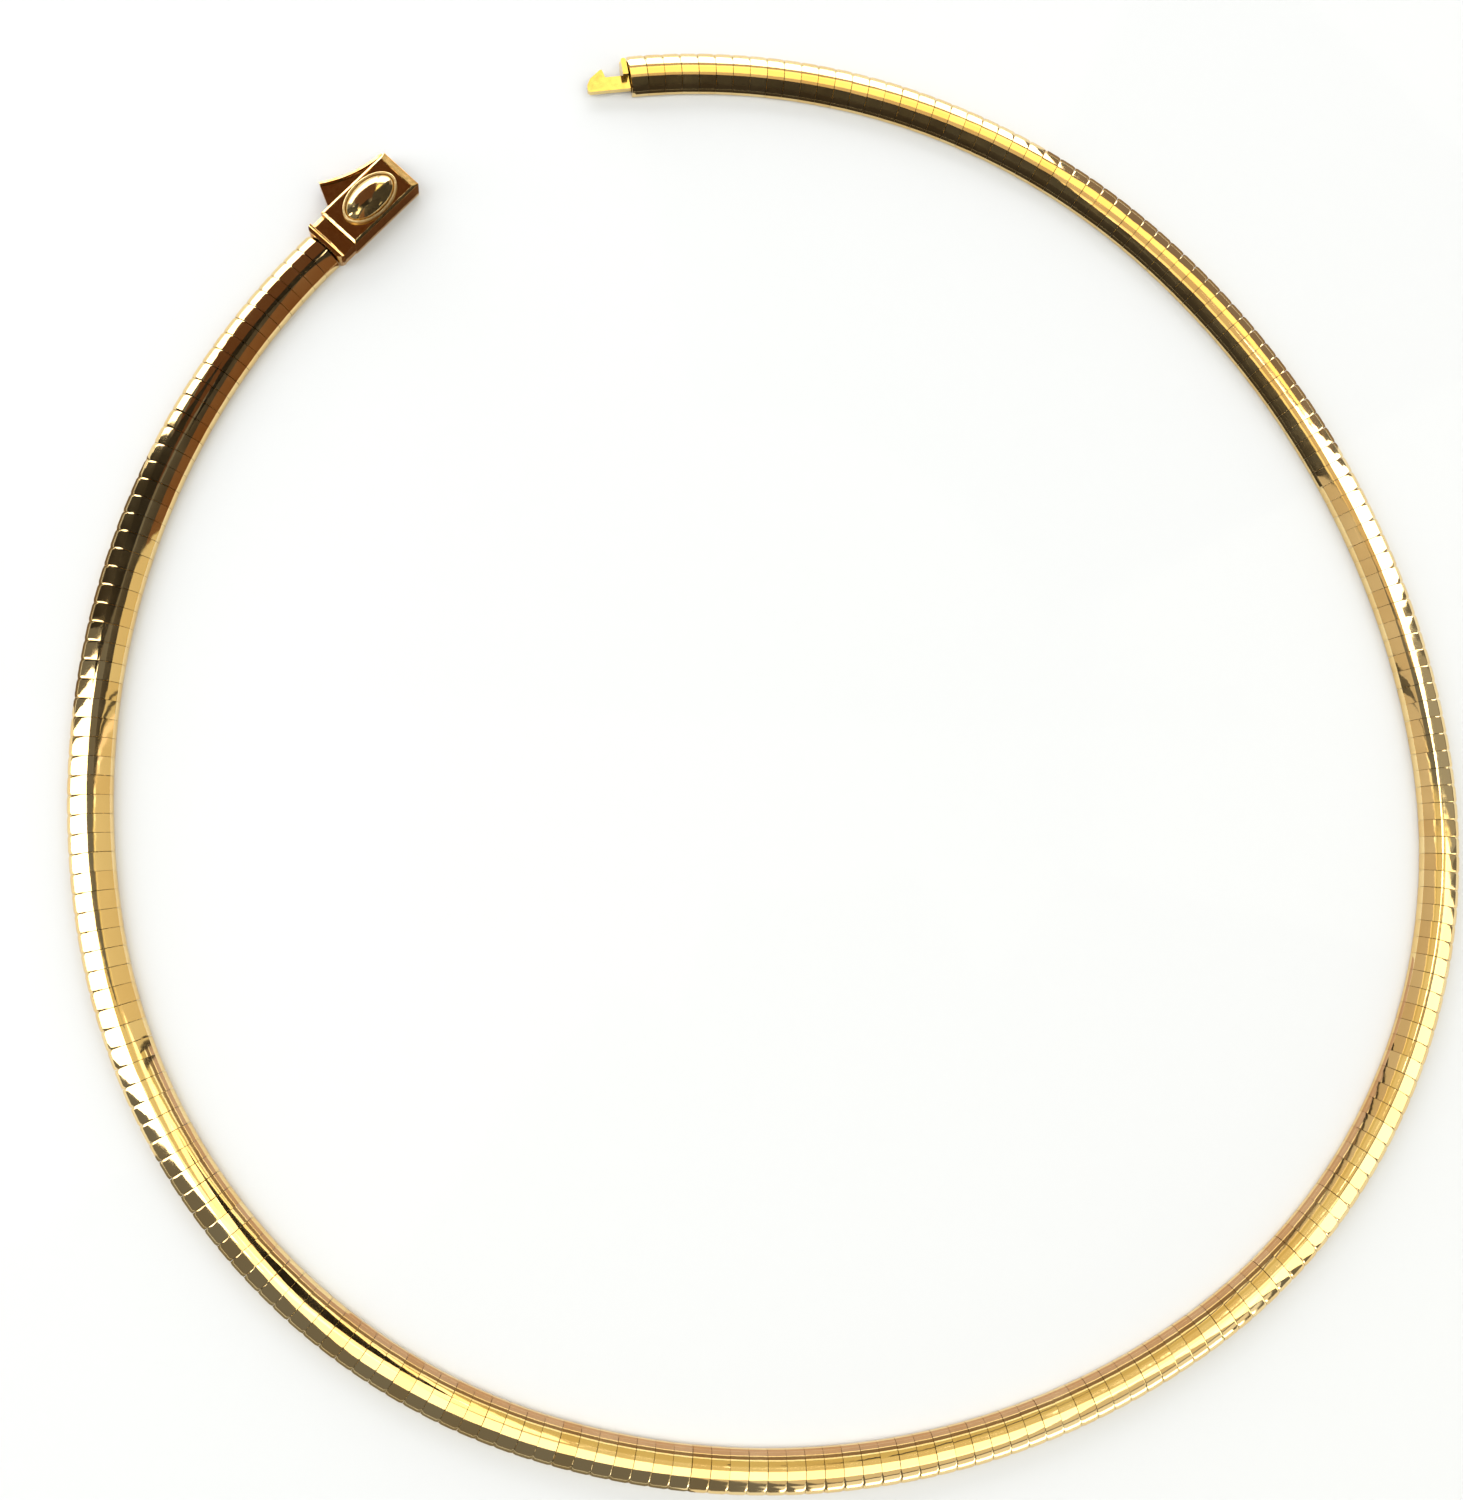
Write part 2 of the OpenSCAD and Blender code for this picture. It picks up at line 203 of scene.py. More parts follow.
def pick(kind, test):
    """In edit mode, selects the vertices, edges or faces whose middle in millimetres passes the test."""
    mesh = bmesh.from_edit_mesh(bpy.context.object.data)
    bpy.context.tool_settings.mesh_select_mode = (kind == "VERT", kind == "EDGE", kind == "FACE")
    bpy.ops.mesh.select_all(action="DESELECT")
    parts = {"VERT": mesh.verts, "EDGE": mesh.edges, "FACE": mesh.faces}[kind]
    for part in parts:
        if kind == "VERT":
            middle = part.co / MM
        else:
            middle = sum((v.co for v in part.verts), Vector()) / len(part.verts) / MM
        if test(middle, part):
            part.select_set(True)
    mesh.select_flush_mode()
    bmesh.update_edit_mesh(bpy.context.object.data)


def pull(x, y, z):
    """Extrudes what is selected."""
    bpy.ops.mesh.extrude_region_move(TRANSFORM_OT_translate={"value": Vector((x, y, z)) * MM})


def turn(y, z, degrees, steps):
    """Spins the selected edge round a line along X."""
    bpy.ops.mesh.spin(
        steps=steps,
        angle=-math.radians(degrees),
        center=Vector((0, y, z)) * MM,
        axis=(1, 0, 0),
    )


def finish_with(piece, kind, **settings):
    """Adds a modifier and applies it."""
    take(piece)
    modifier = piece.modifiers.new(kind.title(), kind)
    for name, value in settings.items():
        setattr(modifier, name, value)
    bpy.ops.object.modifier_apply(modifier=modifier.name)


def block(name, low, high):
    """A block between two corners, as the start of a piece."""
    fresh()
    low, high = Vector(low) * MM, Vector(high) * MM
    bpy.ops.mesh.primitive_cube_add(size=1, location=(low + high) / 2, scale=high - low)
    piece = bpy.context.object
    piece.name = name
    return settle(piece)


def cut(piece, cutter):
    """Takes the cutter out of the piece."""
    finish_with(piece, "BOOLEAN", operation="DIFFERENCE", solver="EXACT", object=cutter)
    bpy.data.objects.remove(cutter)


def melt(piece, other):
    """Solders another shape to the piece."""
    finish_with(piece, "BOOLEAN", operation="UNION", solver="EXACT", object=other)
    bpy.data.objects.remove(other)


def merge_points(distance):
    """In edit mode, makes one point of those that lie closer together than the distance."""
    bpy.ops.mesh.select_all(action="SELECT")
    bpy.ops.mesh.remove_doubles(threshold=distance * MM)


def soften(piece, width):
    """Rounds the piece's sharp edges and shades it smooth."""
    take(piece)
    bpy.ops.object.mode_set(mode="EDIT")
    merge_points(CUT_MERGE)
    bpy.ops.mesh.dissolve_limited(angle_limit=math.radians(0.5))
    bpy.ops.mesh.normals_make_consistent(inside=False)
    bpy.ops.object.mode_set(mode="OBJECT")
    finish_with(
        piece,
        "BEVEL",
        width=width * MM,
        segments=3,
        limit_method="ANGLE",
        angle_limit=math.radians(30),
        use_clamp_overlap=True,
        miter_outer="MITER_ARC",
    )
    return shade(piece, 40)


def shade(piece, degrees):
    """Smooth shading that keeps flats flat."""
    take(piece)
    bpy.ops.object.shade_smooth_by_angle(angle=math.radians(degrees))
    finish_with(piece, "WEIGHTED_NORMAL", keep_sharp=True, weight=80)
    return piece


def file_flat(piece, point, side, degrees):
    """Files a flat on top of the piece, which starts at the point and falls away to one side."""
    lean = math.radians(degrees)
    normal = (side[0] * math.sin(lean), side[1] * math.sin(lean), math.cos(lean))
    take(piece)
    bpy.ops.object.mode_set(mode="EDIT")
    bpy.ops.mesh.select_all(action="SELECT")
    bpy.ops.mesh.bisect(plane_co=Vector(point) * MM, plane_no=normal, clear_outer=True, use_fill=True)
    bpy.ops.object.mode_set(mode="OBJECT")


def clasp_frame(unit):
    """Where the clasp's own frame sits in the ring: in metres with MM as the unit, in millimetres with 1."""
    corner = Matrix.Translation(Vector((*CLASP_END, 0)) * unit)
    return corner @ Matrix.Rotation(math.radians(CLASP_HEADING + 180), 4, "Z")


def at_clasp(piece):
    """Moves a piece from the clasp's own frame to its place."""
    piece.matrix_world = clasp_frame(MM)
    return settle(piece)


def hand_over(piece, name, body, slot, *nodes):
    """Names a finished piece, sets it on its body and hides the imported parts that it replaces."""
    piece.name = name
    piece.data.name = name
    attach(piece, body)
    if nodes:
        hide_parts(*nodes)


# Materials


def linear(code):
    """An sRGB hex colour as linear values."""
    parts = [int(code[i : i + 2], 16) / 255 for i in (1, 3, 5)]
    parts = [c / 12.92 if c <= 0.04045 else ((c + 0.055) / 1.055) ** 2.4 for c in parts]
    return (*parts, 1.0)


def add_node(material, kind, settings=None, **links):
    """Adds a node with its settings, and links or sets its inputs by name."""
    node = material.node_tree.nodes.new(kind)
    for name, value in (settings or {}).items():
        setattr(node, name, value)
    for name, value in links.items():
        socket = node.inputs[int(name[1:])] if name[1:].isdigit() else node.inputs[name.replace("_", " ")]
        if isinstance(value, bpy.types.NodeSocket):
            material.node_tree.links.new(value, socket)
        else:
            socket.default_value = value
    return node


def new_material(name):
    """An empty material with its surface shader and its output."""
    material = bpy.data.materials.new(name)
    material.use_nodes = True
    material.node_tree.nodes.clear()
    shader = add_node(material, "ShaderNodeBsdfPrincipled")
    add_node(material, "ShaderNodeOutputMaterial", Surface=shader.outputs["BSDF"])
    return material, shader


def polished_plate_gold():
    """Rolled 14 carat gold sheet, buffed: sharp mirror bands that waver a little from plate to plate."""
    material, shader = new_material("polished 14 carat gold sheet")
    shader.inputs["Metallic"].default_value = 1.0
    place = add_node(material, "ShaderNodeAttribute", {"attribute_name": "on_plate"}).outputs["Vector"]
    wear = add_node(material, "ShaderNodeAttribute", {"attribute_name": "plate_wear"}).outputs["Fac"]
    turn_of_plate = add_node(material, "ShaderNodeMath", {"operation": "MULTIPLY"}, _0=wear, _1=97.0)
    # Rolling lines 0.08 mm apart and a few millimetres long, along the chain.
    along = add_node(material, "ShaderNodeMapping", Vector=place, Scale=(400, 12000, 12000))
    lines = add_node(
        material,
        "ShaderNodeTexNoise",
        {"noise_dimensions": "4D"},
        Vector=along.outputs["Vector"],
        W=turn_of_plate.outputs["Value"],
        Scale=1.0,
        Detail=2.0,
    )
    # The dies leave the sheet wavy by a few thousandths of a millimetre over about a millimetre.
    waves = add_node(
        material,
        "ShaderNodeTexNoise",
        {"noise_dimensions": "4D"},
        Vector=place,
        W=turn_of_plate.outputs["Value"],
        Scale=900.0,
        Detail=1.0,
    )
    # Wear and tarnish dull patches a few millimetres wide.
    body = add_node(material, "ShaderNodeTexCoord").outputs["Object"]
    haze = add_node(material, "ShaderNodeTexNoise", Vector=body, Scale=260.0, Detail=4.0, Roughness=0.6)
    rough = add_node(
        material,
        "ShaderNodeMapRange",
        Value=haze.outputs["Fac"],
        From_Min=0.35,
        From_Max=0.75,
        To_Min=0.035,
        To_Max=0.12,
    )
    material.node_tree.links.new(rough.outputs["Result"], shader.inputs["Roughness"])
    tone = add_node(material, "ShaderNodeMix", {"data_type": "RGBA"}, _0=wear)
    tone.inputs[6].default_value = linear("#F3D79B")
    tone.inputs[7].default_value = linear("#EDCA88")
    material.node_tree.links.new(tone.outputs[2], shader.inputs["Base Color"])
    wavy = add_node(material, "ShaderNodeBump", Strength=1.0, Distance=0.000006, Height=waves.outputs["Fac"])
    lined = add_node(
        material,
        "ShaderNodeBump",
        Strength=0.2,
        Distance=0.000001,
        Height=lines.outputs["Fac"],
        Normal=wavy.outputs["Normal"],
    )
    material.node_tree.links.new(lined.outputs["Normal"], shader.inputs["Normal"])
    return material


def worn_clasp_gold_with_painted_shade():
    """Cast and filed 14 carat gold with painted shade: light gold on the rim tops, browner in patches lower
    down, in the sunk face and below.
    """
    material, shader = new_material("worn 14 carat gold casting with painted shade")
    shader.inputs["Metallic"].default_value = 1.0
    place = add_node(material, "ShaderNodeTexCoord").outputs["Object"]
    # Patches about half a millimetre wide: they vary the roughness, and below the rim tops they shape the
    # painted shade.
    cloud = add_node(material, "ShaderNodeTexNoise", Vector=place, Scale=1500.0, Detail=5.0, Roughness=0.65)
    height = add_node(material, "ShaderNodeSeparateXYZ", Vector=place).outputs["Z"]
    # Painted shade mask: full below the face and fading out just above it, so the rim tops stay light.
    below_rim_tops = add_node(
        material,
        "ShaderNodeMapRange",
        Value=height,
        From_Min=(FACE_Z + PAINTED_SHADE_ENDS) * MM,
        From_Max=(FACE_Z + PAINTED_SHADE_FULL) * MM,
        To_Min=0.0,
        To_Max=1.0,
    )
    shade_patches = add_node(
        material,
        "ShaderNodeMapRange",
        Value=cloud.outputs["Fac"],
        From_Min=0.3,
        From_Max=0.7,
        To_Min=0.35,
        To_Max=1.0,
    )
    painted_shade = add_node(
        material,
        "ShaderNodeMath",
        {"operation": "MULTIPLY"},
        _0=below_rim_tops.outputs["Result"],
        _1=shade_patches.outputs["Result"],
    )
    # Painted shade: the gold turns brown where the mask and the patches meet.
    tone = add_node(material, "ShaderNodeMix", {"data_type": "RGBA"}, _0=painted_shade.outputs["Value"])
    tone.inputs[6].default_value = linear("#F1D291")
    tone.inputs[7].default_value = linear("#C99046")
    material.node_tree.links.new(tone.outputs[2], shader.inputs["Base Color"])
    rough = add_node(
        material,
        "ShaderNodeMapRange",
        Value=cloud.outputs["Fac"],
        From_Min=0.3,
        From_Max=0.7,
        To_Min=0.05,
        To_Max=0.16,
    )
    material.node_tree.links.new(rough.outputs["Result"], shader.inputs["Roughness"])
    # Hair scratches about 0.1 mm apart, most of them along the clasp.
    along = add_node(material, "ShaderNodeMapping", Vector=place)
    along.inputs["Rotation"].default_value = (0, 0, math.radians(-CLASP_HEADING))
    along.inputs["Scale"].default_value = (700, 9000, 9000)
    scratches = add_node(
        material,
        "ShaderNodeTexNoise",
        Vector=along.outputs["Vector"],
        Scale=1.0,
        Detail=3.0,
    )
    # The casting is not quite flat: shallow dips about a millimetre wide.
    dips = add_node(material, "ShaderNodeTexNoise", Vector=place, Scale=1100.0, Detail=1.0)
    wavy = add_node(material, "ShaderNodeBump", Strength=1.0, Distance=0.000012, Height=dips.outputs["Fac"])
    scratched = add_node(
        material,
        "ShaderNodeBump",
        Strength=0.3,
        Distance=0.000004,
        Height=scratches.outputs["Fac"],
        Normal=wavy.outputs["Normal"],
    )
    material.node_tree.links.new(scratched.outputs["Normal"], shader.inputs["Normal"])
    return material


def burnished_bezel_gold():
    """A gold wire ring pressed down with a burnisher: many small facets that glitter all the way round."""
    material, shader = new_material("burnished 14 carat gold wire")
    shader.inputs["Metallic"].default_value = 1.0
    place = add_node(material, "ShaderNodeTexCoord").outputs["Object"]
    # Each stroke of the burnisher leaves a flat about 0.4 mm wide.
    flats = add_node(
        material,
        "ShaderNodeTexVoronoi",
        {"feature": "SMOOTH_F1"},
        Vector=place,
        Scale=2600.0,
        Smoothness=0.4,
    )
    tone = add_node(material, "ShaderNodeMix", {"data_type": "RGBA"}, _0=flats.outputs["Distance"])
    tone.inputs[6].default_value = linear("#F8E0A8")
    tone.inputs[7].default_value = linear("#E9C684")
    material.node_tree.links.new(tone.outputs[2], shader.inputs["Base Color"])
    shader.inputs["Roughness"].default_value = 0.36
    bump = add_node(
        material,
        "ShaderNodeBump",
        Strength=1.0,
        Distance=0.00002,
        Height=flats.outputs["Distance"],
    )
    material.node_tree.links.new(bump.outputs["Normal"], shader.inputs["Normal"])
    return material


def filed_tongue_gold():
    """Gold strip sawn and filed to shape: fine file lines across it and a slightly greener yellow."""
    material, shader = new_material("filed 14 carat gold strip")
    shader.inputs["Metallic"].default_value = 1.0
    place = add_node(material, "ShaderNodeTexCoord").outputs["Object"]
    across = add_node(material, "ShaderNodeMapping", Vector=place)
    across.inputs["Rotation"].default_value = (0, 0, math.radians(-TONGUE_HEADING - 75))
    across.inputs["Scale"].default_value = (800, 11000, 11000)
    # File lines 0.09 mm apart.
    lines = add_node(material, "ShaderNodeTexNoise", Vector=across.outputs["Vector"], Scale=1.0, Detail=3.0)
    cloud = add_node(material, "ShaderNodeTexNoise", Vector=place, Scale=1300.0, Detail=4.0)
    tone = add_node(material, "ShaderNodeMix", {"data_type": "RGBA"}, _0=cloud.outputs["Fac"])
    tone.inputs[6].default_value = linear("#F6DC97")
    tone.inputs[7].default_value = linear("#E8C677")
    material.node_tree.links.new(tone.outputs[2], shader.inputs["Base Color"])
    rough = add_node(
        material,
        "ShaderNodeMapRange",
        Value=cloud.outputs["Fac"],
        From_Min=0.3,
        From_Max=0.7,
        To_Min=0.08,
        To_Max=0.2,
    )
    material.node_tree.links.new(rough.outputs["Result"], shader.inputs["Roughness"])
    bump = add_node(material, "ShaderNodeBump", Strength=0.5, Distance=0.000008, Height=lines.outputs["Fac"])
    material.node_tree.links.new(bump.outputs["Normal"], shader.inputs["Normal"])
    return material


def woven_band_gold():
    """Gold wire woven in a flat strip: soft broken sparkle, with painted shade that darkens the gold between
    the wires.
    """
    material, shader = new_material("woven 14 carat gold wire")
    shader.inputs["Metallic"].default_value = 1.0
    along_strip = add_node(material, "ShaderNodeAttribute", {"attribute_name": "strip"}).outputs["Vector"]
    slanted = []
    for lean in (-45, 45):
        leant = add_node(material, "ShaderNodeMapping", Vector=along_strip)
        leant.inputs["Rotation"].default_value = (0, 0, math.radians(lean))
        # The wires lie 0.25 mm apart; the wave repeats every pi / 10 units at a scale of 1.
        wires = add_node(
            material,
            "ShaderNodeTexWave",
            {"bands_direction": "X"},
            Vector=leant.outputs["Vector"],
            Scale=math.pi / 10 / (0.25 * MM),
            Distortion=0.0,
        )
        slanted.append(wires.outputs["Fac"])
    weave = add_node(material, "ShaderNodeMath", {"operation": "MAXIMUM"}, _0=slanted[0], _1=slanted[1])
    # Painted shade: the gold is brown between the wires and light on them.
    tone = add_node(material, "ShaderNodeMix", {"data_type": "RGBA"}, _0=weave.outputs["Value"])
    tone.inputs[6].default_value = linear("#8A6428")
    tone.inputs[7].default_value = linear("#EDCB86")
    material.node_tree.links.new(tone.outputs[2], shader.inputs["Base Color"])
    rough = add_node(
        material,
        "ShaderNodeMapRange",
        Value=weave.outputs["Value"],
        From_Min=0.0,
        From_Max=1.0,
        To_Min=0.5,
        To_Max=0.2,
    )
    material.node_tree.links.new(rough.outputs["Result"], shader.inputs["Roughness"])
    bump = add_node(material, "ShaderNodeBump", Strength=0.8, Distance=0.00004, Height=weave.outputs["Value"])
    material.node_tree.links.new(bump.outputs["Normal"], shader.inputs["Normal"])
    return material


# Chain


def folded_channel(length):
    """Sheet folded round a plate's section, along X and closed at both ends, left in edit mode."""
    fresh()
    bpy.ops.mesh.primitive_plane_add(size=1, location=Vector((0, (SLOT_HALF + HALF_W - FOLD_R) / 2, 0)) * MM)
    plate = bpy.context.object
    plate.scale = Vector((length, HALF_W - FOLD_R - SLOT_HALF, 1)) * MM
    settle(plate)
    bpy.ops.object.mode_set(mode="EDIT")
    pick("EDGE", lambda p, e: p.y > HALF_W - FOLD_R - NEAR)
    # Outside: fold, side, shoulder, dome, and down again on the other side.
    lean = math.degrees(math.atan2(SHOULDER_X, SHOULDER_Z - CROWN_Z))
    turn(HALF_W - FOLD_R, FOLD_R, 90, 2)
    pull(0, 0, SHOULDER_Z - FOLD_R)
    turn(SHOULDER_X, SHOULDER_Z, 90 - lean, 3)
    turn(0, CROWN_Z, 2 * lean, 8)
    turn(-SHOULDER_X, SHOULDER_Z, 90 - lean, 3)
    pull(0, 0, FOLD_R - SHOULDER_Z)
    turn(FOLD_R - HALF_W, FOLD_R, 90, 2)
    pull(0, HALF_W - FOLD_R - SLOT_HALF, 0)
    # Inside: up the lip, round under the dome and back to the first lip.
    pull(0, 0, LIP_T)
    pull(0, SLOT_HALF - HALF_W + WALL, 0)
    pull(0, 0, SHOULDER_Z - LIP_T)
    inner = CROWN_R - WALL
    corner = (inner * math.sin(math.radians(lean)), CROWN_Z + inner * math.cos(math.radians(lean)))
    pull(0, HALF_W - WALL - corner[0], corner[1] - SHOULDER_Z)
    turn(0, CROWN_Z, -2 * lean, 2)
    pull(0, HALF_W - WALL - corner[0], SHOULDER_Z - corner[1])
    pull(0, 0, LIP_T - SHOULDER_Z)
    pull(0, SLOT_HALF - HALF_W + WALL, 0)
    pull(0, 0, -LIP_T)
    merge_points(SWEPT_MERGE)
    for side in (-1, 1):
        pick("EDGE", lambda p, e: abs(p.x - side * length / 2) < NEAR)
        bpy.ops.mesh.edge_face_add()
    bpy.ops.mesh.select_all(action="SELECT")
    bpy.ops.mesh.normals_make_consistent(inside=False)
    return plate


def on_outside(p):
    """True on the dome and its sides, not on the channel inside."""
    if p.z < FOLD_R + NEAR:
        return abs(p.y) > HALF_W - FOLD_R
    if p.z < SHOULDER_Z + NEAR:
        return abs(p.y) > HALF_W - WALL / 2
    return math.hypot(p.y, p.z - CROWN_Z) > CROWN_R - WALL / 2 or abs(p.y) > HALF_W - WALL / 2


def rub_corners(length):
    """Rubs the corners that face out of the ring away in a wedge, which catches the light."""
    pick("EDGE", lambda p, e: abs(abs(p.x) - length / 2) < NEAR and on_outside(p) and p.y < -ROLL_FROM)
    bpy.ops.mesh.bevel(offset=ROLL_L * MM, segments=1, affect="EDGES")
    for side in (-1, 1):
        end = side * length / 2
        # With each step outwards the edge's line on the dome moves in and its line on the end drops.
        for across in CORNER_STEPS:
            pick("VERT", lambda p, v: NEAR < abs(p.x - end) < length / 4 + ROLL_L and p.y < -across)
            bpy.ops.transform.translate(value=Vector((-side * CORNER_ROLL, 0, 0)) * MM)
            pick("VERT", lambda p, v: abs(p.x - end) < NEAR and on_outside(p) and p.y < -across)
            bpy.ops.transform.resize(
                value=(1, 1 - CORNER_DROP, 1 - CORNER_DROP),
                center_override=Vector((end, 0, 0)) * MM,
            )


def widen_outwards(radius):
    """Widens the outer part more than the ring does, so the joints close again towards the outer edge."""
    row = (TAPER_FROM + HALF_W) / TAPER_ROWS
    widening = 1 + 2 * HALF_W / TAPER_ROWS / radius
    for count in range(TAPER_ROWS):
        across = TAPER_FROM - (count + 0.5) * row
        pick("VERT", lambda p, v: p.y < across)
        bpy.ops.transform.resize(value=(widening, 1, 1), center_override=(0, 0, 0))


def plate_template(length, radius):
    """One plate, along X: a domed channel with its sides folded under and its ends rolled."""
    plate = folded_channel(length)
    rub_corners(length)
    widen_outwards(radius)
    bpy.ops.object.mode_set(mode="OBJECT")
    # The gold's rolling lines and waves keep to this place when the plate moves.
    on_plate = plate.data.attributes.new("on_plate", "FLOAT_VECTOR", "POINT")
    for vertex in plate.data.vertices:
        on_plate.data[vertex.index].vector = vertex.co
    return plate


def plate_place(arc, index):
    """Where one plate sits, with the little play that each has on the band."""
    step = arc["turn"] / arc["plates"]
    heading = math.radians(arc["heading"] + (index + 0.5) * step)
    centre = Vector((*arc["centre"], 0)) + arc["radius"] * Vector((math.sin(heading), -math.cos(heading), 0))
    play = [math.radians(random.gauss(0, spread)) for spread in PLATE_PLAY]
    middle = Matrix.Translation(Vector((0, 0, SHOULDER_Z)) * MM)
    tilt = (
        Matrix.Rotation(play[0], 4, "X")
        @ Matrix.Rotation(play[1], 4, "Y")
        @ Matrix.Rotation(play[2], 4, "Z")
    )
    return (
        Matrix.Translation(centre * MM)
        @ Matrix.Rotation(heading, 4, "Z")
        @ middle
        @ tilt
        @ middle.inverted()
    )


def chain_run(arcs):
    """All the plates along a run of arcs, joined in one piece."""
    plates = []
    for arc in arcs:
        pitch = math.radians(arc["turn"]) * arc["radius"] / arc["plates"]
        inner_pitch = pitch * (1 - HALF_W / arc["radius"])
        template = plate_template(inner_pitch - PLATE_JOINT, arc["radius"])
        for index in range(arc["plates"]):
            plate = template.copy()
            plate.data = template.data.copy()
            bpy.context.scene.collection.objects.link(plate)
            plate.data.transform(plate_place(arc, index))
            wear = plate.data.attributes.new("plate_wear", "FLOAT", "POINT")
            amount = random.random()
            wear.data.foreach_set("value", [amount] * len(plate.data.vertices))
            plates.append(plate)
        bpy.data.objects.remove(template)
    fresh()
    for plate in plates:
        plate.select_set(True)
    bpy.context.view_layer.objects.active = plates[0]
    bpy.ops.object.join()
    return shade(bpy.context.object, 40)


def band():
    """The strip inside the plates, swept along the arcs between the two spigots."""
    first, last = ARCS[0], ARCS[-1]
    hold = [math.degrees((SPIGOT_L + END_GAP) / arc["radius"]) for arc in (first, last)]
    start = math.radians(first["heading"] + hold[0])
    low = Vector((*first["centre"], 0)) + first["radius"] * Vector((math.sin(start), -math.cos(start), 0))
    fresh()
    bpy.ops.mesh.primitive_plane_add(
        size=1,
        location=(low + Vector((0, 0, BAND_Z + BAND_T / 2))) * MM,
        rotation=(math.radians(90), 0, start - math.radians(90)),
    )
    strip = bpy.context.object
    strip.scale = Vector((BAND_W, BAND_T, 1)) * MM
    settle(strip)
    bpy.ops.object.mode_set(mode="EDIT")
    bpy.ops.mesh.select_all(action="SELECT")
    for arc in ARCS:
        angle = arc["turn"]
        if arc is first:
            angle -= hold[0]
        if arc is last:
            angle -= hold[1]
        bpy.ops.mesh.spin(
            steps=round(angle),
            angle=-math.radians(angle),
            center=Vector((*arc["centre"], 0)) * MM,
            axis=(0, 0, 1),
        )
    merge_points(SWEPT_MERGE)
    bpy.ops.mesh.normals_make_consistent(inside=False)
    bpy.ops.object.mode_set(mode="OBJECT")
    weave_lines(strip)
    return shade(strip, 30)


def weave_lines(strip):
    """Writes each point's length along the strip and place across it, for the weave to follow."""
    lines = strip.data.attributes.new("strip", "FLOAT_VECTOR", "POINT")
    for vertex in strip.data.vertices:
        spot = vertex.co / MM
        best = None
        along = 0.0
        for arc in ARCS:
            out = Vector((spot.x - arc["centre"][0], spot.y - arc["centre"][1]))
            heading = (math.degrees(math.atan2(out.x, -out.y)) - arc["heading"]) % 360
            turned = heading if heading < 180 else heading - 360
            inside = max(0, -turned, turned - arc["turn"])
            if best is None or inside < best[0]:
                best = (inside, along + math.radians(turned) * arc["radius"], out.length - arc["radius"])
            along += math.radians(arc["turn"]) * arc["radius"]
        lines.data[vertex.index].vector = Vector((best[1], best[2], spot.z)) * MM


# Clasp


def clasp_shell():
    """The hollow box with its rim, open at the mouth and along the lever's side."""
    end = COLLAR_L + BOX_L
    side = BOX_W / 2
    shell = block("shell", (COLLAR_L, -side, 0), (end, side, BOX_H))
    face = block(
        "face",
        (COLLAR_L + RIM_W, RIM_W - side, FACE_Z),
        (end - FRONT_RIM_W, side - RIM_W, BOX_H + CUTTER_REACH),
    )
    cut(shell, face)
    hollow = block(
        "hollow",
        (COLLAR_L + BOX_WALL, BOX_WALL - side, BOX_WALL),
        (end + CUTTER_REACH, side - BOX_WALL, CAVITY_TOP),
    )
    cut(shell, hollow)
    side_slot = block(
        "side slot",
        (SLOT_BACK, side - BOX_WALL - CUT_OVERLAP, SLOT_LOW),
        (end + CUTTER_REACH, BOX_W, SLOT_HIGH),
    )
    cut(shell, side_slot)
    rims = (
        (-1, 0, RIM_W, REAR_LEAN),
        (1, 0, FRONT_RIM_W, FRONT_LEAN),
        (0, -1, RIM_W, RIM_LEAN),
        (0, 1, RIM_W, RIM_LEAN),
    )
    for x, y, width, degrees in rims:
        inner_edge = (BOX_MIDDLE + x * (BOX_L / 2 - width), y * (side - width), BOX_H)
        file_flat(shell, inner_edge, (x, y), degrees)
    soften(shell, EDGE_R)
    return at_clasp(shell)


def collar():
    """The block between chain and box, with a rounded flange against the chain and a spigot inside it."""
    side = COLLAR_W / 2 + COLLAR_STEP / 2
    top = COLLAR_H - COLLAR_STEP
    piece = block("flange", (END_GAP, -side, 0), (END_GAP + FLANGE_L, side, COLLAR_H))

    def is_upright_corner(p):
        """True for the two upright edges that face the chain."""
        return p.x < END_GAP + NEAR and abs(abs(p.y) - side) < NEAR and abs(p.z - COLLAR_H / 2) < NEAR

    take(piece)
    bpy.ops.object.mode_set(mode="EDIT")
    pick("EDGE", lambda p, e: is_upright_corner(p))
    bpy.ops.mesh.bevel(offset=FLANGE_R * MM, segments=6, affect="EDGES")
    bpy.ops.object.mode_set(mode="OBJECT")
    file_flat(piece, (END_GAP + FLANGE_L - FLANGE_FLAT, 0, COLLAR_H), (1, 0), FLANGE_LEAN)
    file_flat(piece, (END_GAP + FLANGE_FLAT / 2, 0, COLLAR_H), (-1, 0), REAR_LEAN)
    faceted = block(
        "faceted block",
        (END_GAP + FACET_BLOCK_FROM, -COLLAR_W / 2, 0),
        (COLLAR_L - HAIRLINE, COLLAR_W / 2, top),
    )
    file_flat(faceted, (0, COLLAR_W / 2 - FACET_W, top), (0, 1), FACET_LEAN)
    melt(piece, faceted)
    spigot = block(
        "spigot",
        (-SPIGOT_L, -BAND_W / 2, BAND_Z),
        (END_GAP + SPIGOT_ROOT, BAND_W / 2, BAND_Z + BAND_T),
    )
    melt(piece, spigot)
    soften(piece, EDGE_R)
    return at_clasp(piece)


